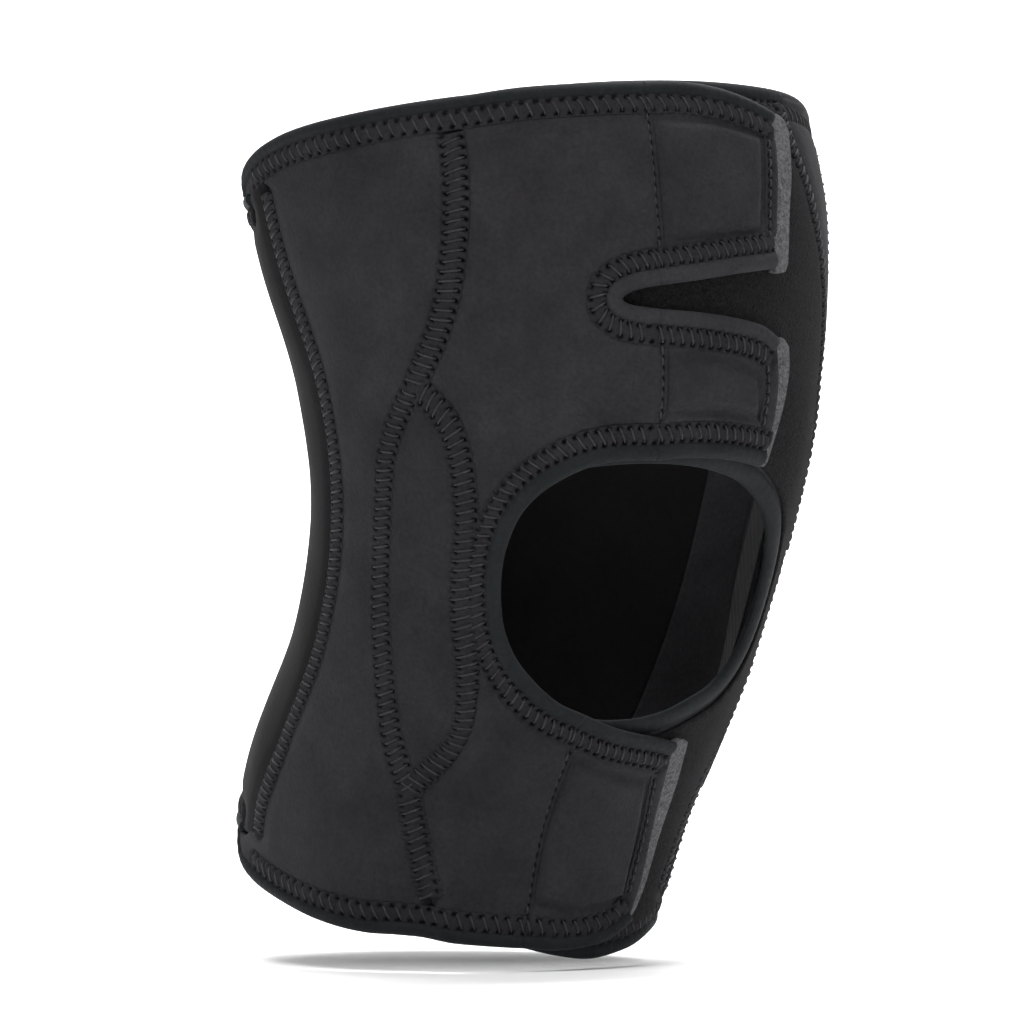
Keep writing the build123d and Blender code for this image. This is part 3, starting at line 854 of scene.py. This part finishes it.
addPanel(
    "medialGusset", [mirrorStops(part) for part in gusset], {**panelStyle, "groove": 0.4}, stretchKnit,
    zones("medial_gusset", ("upper", "knee", "lower")), noRise, medialSeams,
)
medialStyle = {**panelStyle, "outer": 2.2, "groove": 0.3, "under": 0.9}
addPanel(
    "medialFrontPanel",
    [openingMedial, [(240, -44), (238, -46), (237.4, -60), (238, -98.8)], medialBottomFront,
     mirrorStops(sideSeamBottom), mirrorStops(gussetFront), mirrorStops(sideSeamTop), medialTopFront[::-1],
     [(237, 98.2), (237, 60), (237, 12)], [(237, 12), (238, 12)]],
    medialStyle, neopreneJersey, zones("medial_front_panel"), medialRise,
    medialSeams + ["medialTopBand", "medialBottomBand", "loopSeamBand", "loopSeamLowBand"],
)
# the rear panel's near-black colour is partly its own tone and partly painted shade
addPanel(
    "rearPanel",
    [rearBottomEdge, [(149, -94.6), (158, -92.6), (162, -85)], rearSeam[1:], [(166, 90), (155, 87)],
     rearTopEdge[::-1], [(25, 87), (14, 90)], [(180 - a, h) for a, h in rearSeam[:0:-1]],
     [(18, -85), (22, -92.6), (30, -94.6)]],
    panelStyle, smoothJerseyAndRearShade, zones("rear_panel"), noRise,
    ["rearSeamBand", "rearTopBand", "rearBottomBand"],
)

# loop pile on the medial panel, under the tabs
pileStyle = {"inner": 2.1, "outer": 3.05, "grid": 1.5, "groove": 0.2, "grooveEase": 2.5, "under": 0.8}
pileShare = 0.66  # how much of each step out from the opening the pile keeps clear
openingPile = [(a + pileShare * da, h + pileShare * dh) for (a, h), (da, dh) in zip(openingMedial, [
    (0, 5.4), (0, 5.4), (0, 5.4), (0.5, 5.3), (1.5, 5.2), (2.6, 4.6), (3.8, 3.8), (4.6, 2.6), (5, 1.2),
    (5, 0), (5, -1), (4.7, -2.6), (3.8, -3.8), (2.4, -4.8), (1.2, -5.2), (0.4, -5.4), (0, -5.4), (0, -5.4),
])]
pileSide = [(294.5, 95.4), (297, 85), (302, 73), (310, 54), (313, 42), (318, 14), (320.5, 0), (321.5, -20),
            (320, -40), (316, -55), (312, -66), (309, -80), (306, -96.2)]
addPanel(
    "loopField",
    [openingPile, [(240, -49.4), (239, -70), (239, -94)],
     [(239, -94), (266, -97.4), (280, -98.6), (306, -96.2)], pileSide[::-1],
     [(294.5, 95.4), (275, 95.4), (238.5, 95)], [(238.5, 95), (238, 60), (238, 17.4)]],
    pileStyle, loopPileAndGapShade, ["loop_field_upper", "loop_field_lower"], noRise,
    ["loopSeamBand", "loopSeamLowBand"],
)

# tabs: each one goes on from the lateral panel at its root line
patchStyle = {"puff": 0.75, "ease": 2.4, "groove": 1.0, "grooveHalf": 1.0}
tabs = {
    "upper_tab": {
        "name": "upperTab", "outline": [upperRoot, upperTabTop, upperTabEnd[::-1], upperTabLip[::-1]],
        "patch": [(255.2, 59.2), (255.6, 74), (257.0, 89.6), (270, 88.6), (281.6, 85.6), (279.8, 74),
                  (278.0, 62.6), (266, 60.6), (255.2, 59.2)],
    },
    "middle_tab": {
        "name": "middleTab", "outline": [middleRoot, middleTabTop, middleTabEnd[::-1], middleTabLip[::-1]],
        "patch": [(255.8, 21.6), (255.4, 28), (254.8, 34), (266, 32.6), (277.4, 30.4), (279.2, 26),
                  (280.4, 20.8), (268, 21.8), (255.8, 21.6)],
    },
    "lower_tab": {
        "name": "lowerTab", "outline": [lowerRoot, lowerTabTop, lowerTabEnd[::-1], lowerTabBottom[::-1]],
        "patch": [(253.4, -90), (253.7, -72), (254.2, -54.4), (266, -57.4), (278.6, -59.6), (281.4, -72),
                  (282, -88.6), (268, -91), (253.4, -90)],
    },
}


def cornered(stops, corners):
    # splits a closed outline into its sides, so that its corners stay sharp
    marks = sorted(corners) + [len(stops) - 1]
    return [stops[a:b + 1] for a, b in zip([0] + marks, marks) if b > a]


for tab, about in tabs.items():
    patch = {**patchStyle, "outline": cornered(about["patch"], [2, 4, 6])}
    addPanel(
        about["name"], about["outline"], {**fineStyle, "grid": 0.9, "groove": 0.25}, neopreneJersey,
        [tab], wrapRise, [b for b in bands if bands[b][3] == tab], patch, tab,
    )

# pull strips: pressed felt sewn into the end of each tab
feltStyle = {"inner": 4.1, "outer": 6.2, "grid": 0.9}
pullStrips = {
    "upper_tab": {
        "name": "upperPullStrip", "corners": [3, 6, 8],
        "stops": [(285.4, 91.6), (288, 92.6), (290.4, 91.2), (291.2, 88), (289.4, 78), (287.4, 68), (286, 55),
                  (284.8, 52.8), (281.6, 52.6), (281.4, 56), (282.4, 66), (284.2, 80), (285.4, 91.6)],
    },
    "middle_tab": {
        "name": "middlePullStrip", "corners": [2, 5, 7],
        "stops": [(282, 37.6), (285, 37.8), (287.4, 36), (288.6, 30), (288.2, 22), (286.4, 11.6),
                  (285.4, 10.6), (284, 11), (284.6, 20), (284, 28), (282, 37.6)],
    },
    "lower_tab": {
        "name": "lowerPullStrip", "corners": [2, 6, 8],
        "stops": [(282.4, -51.8), (285, -50.4), (288, -51.2), (290.6, -62), (291, -74), (290, -86),
                  (288, -92.6), (286, -95), (284.6, -95), (286.2, -84), (285.6, -70), (282.4, -51.8)],
    },
}
for tab, about in pullStrips.items():
    name = about["name"]
    arrays = panelArrays(cornered(about["stops"], about["corners"]), feltStyle, noRise)
    pieces[name] = addPiece(name, makeMesh(name, *arrays), pullFelt)
    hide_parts(f"{tab}_pull_strip")
    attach(pieces[name], tab)

# hook sheets under the tabs: name and stops round each one, with a corner at every stop
hookStyle = {"inner": 3.2, "outer": 4.05, "grid": 1.6}
hookSheets = {
    "upper_tab": ("upperHookSheet", [(258.6, 57.6), (258.8, 94), (281, 90), (277.6, 59.6), (258.6, 57.6)]),
    "middle_tab": ("middleHookSheet", [(258.4, 19), (258, 37), (279, 33.6), (281, 18.6), (258.4, 19)]),
    "lower_tab": ("lowerHookSheet", [(256.4, -94), (256.4, -53), (279.6, -58), (282, -90), (256.4, -94)]),
}
for tab, (name, stops) in hookSheets.items():
    arrays = panelArrays(cornered(stops, [1, 2, 3]), hookStyle, noRise)
    sewPiece(name, arrays, hooks, [f"{tab}_hook_sheet"], tab)
print("tabs ready")

# rolled edges
rollStyle = {
    "sides": 20, "halfWidth": 2.1, "halfThick": 2.15, "layer": 1.5, "pitch": 3.1, "spacing": 0.8,
    "swell": 0.025, "sway": 0.03, "swayRun": 11,
}
thinRoll = {**rollStyle, "halfThick": 1.6, "layer": 1.1}
lipRoll = {**rollStyle, "halfWidth": 2.25, "halfThick": 1.95, "layer": 1.6}
edgeRolls = {
    "lateralTopRoll": (topEdge + topCorner, rollStyle, wrapRise, bindingKnit, ["lateral_top_hem"], None),
    "lateralBottomRoll": (
        bottomEdge + bottomCorner, rollStyle, wrapRise, bindingKnit, ["lateral_bottom_hem"], None,
    ),
    "medialTopRoll": (
        medialTopEdge + medialTopCorner, thinRoll, noRise, bindingKnit, ["medial_top_hem"], None,
    ),
    "medialBottomRoll": (
        medialBottomEdge + medialBottomCorner, thinRoll, noRise, bindingKnit, ["medial_bottom_hem"], None,
    ),
    "rearTopRoll": (rearTopEdge, rollStyle, noRise, bindingKnit, ["rear_top_hem"], None),
    "rearBottomRoll": (rearBottomEdge, rollStyle, noRise, bindingKnit, ["rear_bottom_hem"], None),
    "patellaLateralRoll": (openingLateral, lipRoll, wrapRise, bindingKnit, ["patella_binding_lateral"], None),
    "patellaMedialRoll": (
        beside(openingMedial, 0.9), {**thinRoll, "halfWidth": 3.1, "layer": 1.3}, noRise, bindingKnit,
        ["patella_binding_medial"], None,
    ),
    # the slot's lips, here and on the two tabs beside it, carry painted light in their colour
    "slotRoll": (slotEnd, lipRoll, wrapRise, litLipJersey, ["slot_binding"], None),
    "upperTabTopRoll": (upperTabTop, rollStyle, wrapRise, bindingKnit, [], "upper_tab"),
    "upperTabLipRoll": (upperTabLip, lipRoll, wrapRise, litLipJersey, [], "upper_tab"),
    "middleTabTopRoll": (middleTabTop, lipRoll, wrapRise, litLipJersey, [], "middle_tab"),
    "middleTabLipRoll": (middleTabLip, lipRoll, wrapRise, bindingKnit, [], "middle_tab"),
    "lowerTabTopRoll": (lowerTabTop, lipRoll, wrapRise, bindingKnit, [], "lower_tab"),
    "lowerTabBottomRoll": (lowerTabBottom, rollStyle, wrapRise, bindingKnit, [], "lower_tab"),
}
for name, (stops, style, rise, material, nodes, tab) in edgeRolls.items():
    arrays = rollArrays(routeOf(stops, style["spacing"]), style, rise)
    sewPiece(name, arrays, material, nodes, tab)
print("rolled edges ready")

# stitched bands on the panels
for name, (stops, style, rise, tab) in bands.items():
    arrays = bandArrays(routeOf(stops, style["spacing"]), style, rise)
    # the bands' jersey is darkened as painted shade of the groove
    sewPiece(name, arrays, stitchedJerseyGrooveShade, [], tab)
print("stitched bands ready")

# the stays run down the middle of each gusset, between the cloth and a tape pocket
stayForm = {"half": 3.0, "low": -2.2, "high": -0.2, "chamfer": 0.35, "top": 25.0, "bottom": -60.0}
capForm = {"half": 3.0, "low": -2.2, "high": -0.2, "chamfer": 0.8, "gap": 0.3, "length": 3.0}
pocketForm = {"half": 7.0, "low": -3.0, "high": -2.4, "chamfer": 0.15}


def gussetMiddle(low, high):
    heights = np.linspace(high, low, 48)
    seams = [routeOf(stops, 2.0).tolist() for stops in (gussetRear, gussetFront)]
    rows = [np.array(sorted((h, a) for a, h in seam)) for seam in seams]
    angles = sum(np.interp(heights, r[:, 0], r[:, 1]) for r in rows) / 2
    return [(a, h) for a, h in zip(angles.tolist(), heights.tolist())]


def barArrays(stops, form):
    # a flat strip with eased edges
    route = routeOf(stops, 1.5)
    half, low, high, ease = form["half"], form["low"], form["high"], form["chamfer"]
    sides = [half, half, half - ease, ease - half, -half, -half, ease - half, half - ease]
    outs = [low + ease, high - ease, high, high, high - ease, low + ease, low, low]
    rows = np.ones((len(route), 1))
    return sweepSection(route, rows * np.array(sides), rows * np.array(outs), 0.0, noRise)


pockets = {}
for side, mirror in (("lateral", lambda stops: stops), ("medial", mirrorStops)):
    top, bottom, gap, length = stayForm["top"], stayForm["bottom"], capForm["gap"], capForm["length"]
    bars = {
        "Stay": (top, bottom, stayForm, steel, "spring_steel", "stay"),
        "StayPocket": (top + length, bottom - length, pocketForm, tape, "lining_tape", "stay_pocket"),
        "UpperCap": (top + length, top + gap, capForm, vinyl, "cap_plastic", "stay_cap_upper"),
        "LowerCap": (bottom - gap, bottom - length, capForm, vinyl, "cap_plastic", "stay_cap_lower"),
    }
    for part, (high, low, form, material, slot, node) in bars.items():
        mesh = makeMesh(side + part, *barArrays(mirror(gussetMiddle(low, high)), form))
        mesh.polygons.foreach_set("use_smooth", np.zeros(len(mesh.polygons), bool))
        piece = addPiece(side + part, mesh, material)
        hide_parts(f"{side}_{node}")
        if part.endswith("Cap"):
            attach(piece, "thigh_section" if part == "UpperCap" else "calf_section")
        else:
            bendAtKnee(piece)
        if part == "StayPocket":
            pockets[side] = (piece, 2 * form["half"] * mm, (high - low) * mm)
print("stays ready")


# thread of a stitch in mm, its half run as a share of the pitch in twin rows and in a single row, how much its
# size varies, and the points that a row gives each stitch
stitchForm = {
    "radius": 0.26, "lift": 0.16, "dive": 0.8, "stations": 7, "sides": 6, "twinRun": 0.25, "singleRun": 0.42,
    "smallest": 0.88, "largest": 1.08, "perStitch": 4, "seed": 7,
}


def makeStitchTree():
    # stitches laid along a row: the thread stands on the cloth, with its X along the row
    tree = bpy.data.node_groups.new("stitchRow", "GeometryNodeTree")
    ids = {}
    for name, kind in (("Row", "Geometry"), ("Count", "Int"), ("Stitch", "Object"), ("Thread", "Material"),
                       ("Seed", "Int")):
        socket = tree.interface.new_socket(name=name, in_out="INPUT", socket_type="NodeSocket" + kind)
        ids[name] = socket.identifier
    tree.interface.new_socket(name="Stitches", in_out="OUTPUT", socket_type="NodeSocketGeometry")
    given = addNode(tree, "NodeGroupInput").outputs
    curve = addNode(tree, "GeometryNodeMeshToCurve", {"Mesh": given["Row"]})
    even = addNode(
        tree, "GeometryNodeResampleCurve", {"Curve": curve.outputs["Curve"], "Count": given["Count"]},
        mode="COUNT",
    )
    out = addNode(tree, "GeometryNodeInputNamedAttribute", {"Name": "out"}, data_type="FLOAT_VECTOR")
    tangent = addNode(tree, "GeometryNodeInputTangent")
    turn = addNode(
        tree, "FunctionNodeAxesToRotation",
        {"Primary Axis": out.outputs["Attribute"], "Secondary Axis": tangent.outputs["Tangent"]},
        primary_axis="Z", secondary_axis="X",
    )
    shape = addNode(tree, "GeometryNodeObjectInfo", {"Object": given["Stitch"]})
    tension = addNode(
        tree, "FunctionNodeRandomValue",
        {2: stitchForm["smallest"], 3: stitchForm["largest"], "Seed": given["Seed"]}, data_type="FLOAT",
    )
    stitches = addNode(
        tree, "GeometryNodeInstanceOnPoints",
        {"Points": even.outputs["Curve"], "Instance": shape.outputs["Geometry"],
         "Rotation": turn.outputs["Rotation"], "Scale": tension.outputs[1]},
    )
    real = addNode(tree, "GeometryNodeRealizeInstances", {"Geometry": stitches.outputs["Instances"]})
    done = addNode(
        tree, "GeometryNodeSetMaterial", {"Geometry": real.outputs["Geometry"], "Material": given["Thread"]}
    )
    addNode(tree, "NodeGroupOutput", {"Stitches": done.outputs["Geometry"]})
    return tree, ids


def stitchObject(halfRun, halfSide):
    # one thread across the seam: it stands up in the middle and goes down a hole at each end
    form = stitchForm
    t = np.linspace(-1, 1, form["stations"])
    line = np.column_stack([halfRun * t, -halfSide * t, form["lift"] - form["dive"] * np.abs(t) ** 5])
    run = unit(np.gradient(line, axis=0))
    side = unit(np.cross(np.array([[0.0, 0.0, 1.0]]), run))
    up = np.cross(run, side)
    turns = np.linspace(0, 2 * math.pi, form["sides"], endpoint=False)
    ring = side[:, None] * np.cos(turns)[None, :, None] + up[:, None] * np.sin(turns)[None, :, None]
    points = (line[:, None] + form["radius"] * ring).reshape(-1, 3) * mm
    n, m = form["stations"], form["sides"]
    faces = [(i * m + j, i * m + (j + 1) % m, (i + 1) * m + (j + 1) % m, (i + 1) * m + j)
             for i in range(n - 1) for j in range(m)]
    faces += [tuple(range(m - 1, -1, -1)), tuple((n - 1) * m + j for j in range(m))]
    shape = bpy.data.objects.new("stitch", makeMesh("stitch", points, faces))
    bpy.context.scene.collection.objects.link(shape)
    return shape


stitchTree, stitchIds = makeStitchTree()


def stitchRow(name, stops, style, rise, seed):
    # the threads of one band, as arrays
    route = routeOf(stops, style["spacing"])
    along, pitch = lengthAlong(route), style["pitch"]
    count = int((along[-1] - pitch) // pitch)
    parts = stitchForm["perStitch"] * count
    where = pitch * style["turn"] + np.linspace(0, count * pitch, parts + 1)
    angle, height = np.interp(where, along, route[:, 0]), np.interp(where, along, route[:, 1])
    layer = style["layer"] + style["crown"]
    rowMesh = bpy.data.meshes.new(name)
    rowMesh.from_pydata(
        place(angle, height, layer + rise(angle, height)).tolist(), [(i, i + 1) for i in range(parts)], []
    )
    outs = rowMesh.attributes.new("out", "FLOAT_VECTOR", "POINT")
    outs.data.foreach_set("vector", surfaceAxes(angle, height, layer)[2].astype(np.float32).ravel())
    holder = bpy.data.objects.new(name, rowMesh)
    bpy.context.scene.collection.objects.link(holder)
    rows = style["rows"]
    if len(rows) == 2:
        shape = stitchObject(stitchForm["twinRun"] * pitch, 0.5 * (rows[0] - rows[1]))
    else:
        shape = stitchObject(stitchForm["singleRun"] * pitch, 0.0)
    modifier = holder.modifiers.new("stitches", "NODES")
    modifier.node_group = stitchTree
    for key, value in (("Count", count + 1), ("Stitch", shape), ("Thread", thread), ("Seed", seed)):
        modifier[stitchIds[key]] = value
    bpy.context.view_layer.update()
    made = bpy.data.meshes.new_from_object(holder.evaluated_get(bpy.context.evaluated_depsgraph_get()))
    points = np.zeros(3 * len(made.vertices), np.float32)
    made.vertices.foreach_get("co", points)
    points = points.reshape(-1, 3)
    faces = [tuple(p.vertices) for p in made.polygons]
    bpy.data.objects.remove(holder)
    bpy.data.objects.remove(shape)
    return points, faces, np.zeros((len(points), 2)), {"paintedHoleShade": np.zeros(len(points))}


stitchGroups = {"kneeStitches": None, "upperTabStitches": "upper_tab", "middleTabStitches": "middle_tab",
                "lowerTabStitches": "lower_tab"}
for name, tab in stitchGroups.items():
    rowsMade = [
        stitchRow(band, stops, style, rise, stitchForm["seed"] + i)
        for i, (band, (stops, style, rise, owner)) in enumerate(bands.items()) if owner == tab
    ]
    sewPiece(name, joinArrays(rowsMade), thread, [], tab)
    print(name, len(pieces[name].data.polygons), "faces")

# which bands and rolls are sewn on which cloth
sewnOn = {
    "lateralFrontPanel": ["topBand", "bottomBand", "openingBand", "slotBand", "sideSeamTopBand",
                          "sideSeamBottomBand", "gussetFrontBand", "patellaLateralRoll", "slotRoll",
                          "lateralTopRoll", "lateralBottomRoll", "kneeStitches"],
    "lateralRearPanel": ["rearSeamBand"],
    "lateralGusset": ["gussetRearBand"],
    "medialRearPanel": ["medialRearSeamBand", "medialSideTopBand", "medialSideBottomBand"],
    "medialGusset": ["medialGussetFrontBand", "medialGussetRearBand"],
    "medialFrontPanel": ["medialTopBand", "medialBottomBand", "patellaMedialRoll", "medialTopRoll",
                         "medialBottomRoll"],
    "rearPanel": ["rearTopBand", "rearBottomBand", "rearTopRoll", "rearBottomRoll"],
    "loopField": ["loopSeamBand", "loopSeamLowBand"],
}
for tab, about in tabs.items():
    name = about["name"]
    sewnOn[name] = [piece for piece, made in {**bands, **edgeRolls}.items() if made[-1] == tab]
    sewnOn[name] += [pullStrips[tab]["name"], name + "Stitches"]
for name, (width, length, area) in clothSizes.items():
    print(name, "cut", round(width, 4), round(length, 4), round(area, 6))
for name, stops in hookSheets.values():
    width, length, area = clothSize(cornered(stops, [1, 2, 3]))
    print(name, "cut", round(width, 4), round(length, 4), round(area, 6))
for side, (piece, width, length) in pockets.items():
    print(side, "pocket cut", round(width, 4), round(length, 4))

# camera, floor and light
viewFrom = {"azimuth": -38, "distance": 2.0, "lens": 263, "target": (-0.0028, 0.018, 0.0)}
camera = bpy.data.objects.new("camera", bpy.data.cameras.new("camera"))
bpy.context.scene.collection.objects.link(camera)
turn = math.radians(viewFrom["azimuth"])
away = Vector((math.sin(turn), -math.cos(turn), 0))
camera.location = Vector(viewFrom["target"]) + away * viewFrom["distance"]
camera.rotation_euler = (-away).to_track_quat("-Z", "Y").to_euler()
camera.data.lens = viewFrom["lens"]
camera.data.clip_end = 50
bpy.context.scene.camera = camera

backdrop = {
    "front": -4.0, "back": 2.9, "half": 5.0, "height": 4.0, "bend": 1.0, "steps": 12, "floor": -0.1215,
    "turn": -38,
}


def makeBackdrop():
    # a paper sweep: flat floor that curves up behind the object
    profile = [(backdrop["front"], 0.0)]
    bend = backdrop["bend"]
    for t in np.linspace(0, math.pi / 2, backdrop["steps"] + 1):
        profile.append((backdrop["back"] - bend + bend * math.sin(t), bend * (1 - math.cos(t))))
    profile.append((backdrop["back"], backdrop["height"]))
    a = math.radians(backdrop["turn"])
    points = [
        (-d * math.sin(a) + s * math.cos(a), d * math.cos(a) + s * math.sin(a), z + backdrop["floor"])
        for d, z in profile for s in (-backdrop["half"], backdrop["half"])
    ]
    faces = [(2 * i, 2 * i + 1, 2 * i + 3, 2 * i + 2) for i in range(len(profile) - 1)]
    material, tree, shader = newMaterial("paperSweep")  # seamless white paper: matt, with no gloss
    shader.inputs["Base Color"].default_value = srgb("#f7f7f7")
    shader.inputs["Roughness"].default_value = 0.95
    shader.inputs["Specular IOR Level"].default_value = 0.0
    sweep = bpy.data.objects.new("backdrop", makeMesh("backdrop", points, faces))
    sweep.data.materials.append(material)
    bpy.context.scene.collection.objects.link(sweep)


makeBackdrop()
lamps = {
    "keyLight": {"from": (-1.2, -0.9, 1.9), "to": (0, 0, 0), "size": 0.8, "watts": 40},
    "fillLight": {"from": (0.7, -1.7, 1.3), "to": (0, 0, 0.1), "size": 1.2, "watts": 8},
    "sweepLight": {"from": (1.0, 0.6, 2.2), "to": (0, 0, 0), "size": 2.0, "watts": 26},
    "wallLight": {"from": (0.6, 0.8, 2.6), "to": (1.8, 2.3, 0.8), "size": 2.0, "watts": 170},
}
for name, lamp in lamps.items():
    light = bpy.data.lights.new(name, "AREA")
    light.size, light.energy = lamp["size"], lamp["watts"]
    holder = bpy.data.objects.new(name, light)
    holder.location = lamp["from"]
    aim = Vector(lamp["to"]) - Vector(lamp["from"])
    holder.rotation_euler = aim.to_track_quat("-Z", "Y").to_euler()
    bpy.context.scene.collection.objects.link(holder)
bpy.context.scene.view_settings.view_transform = "Standard"
world = bpy.data.worlds.new("studio")
bpy.context.scene.world = world
world.use_nodes = True
world.node_tree.nodes["Background"].inputs["Color"].default_value = (1.0, 1.0, 1.0, 1.0)
world.node_tree.nodes["Background"].inputs["Strength"].default_value = 0.32
print("camera and light ready")
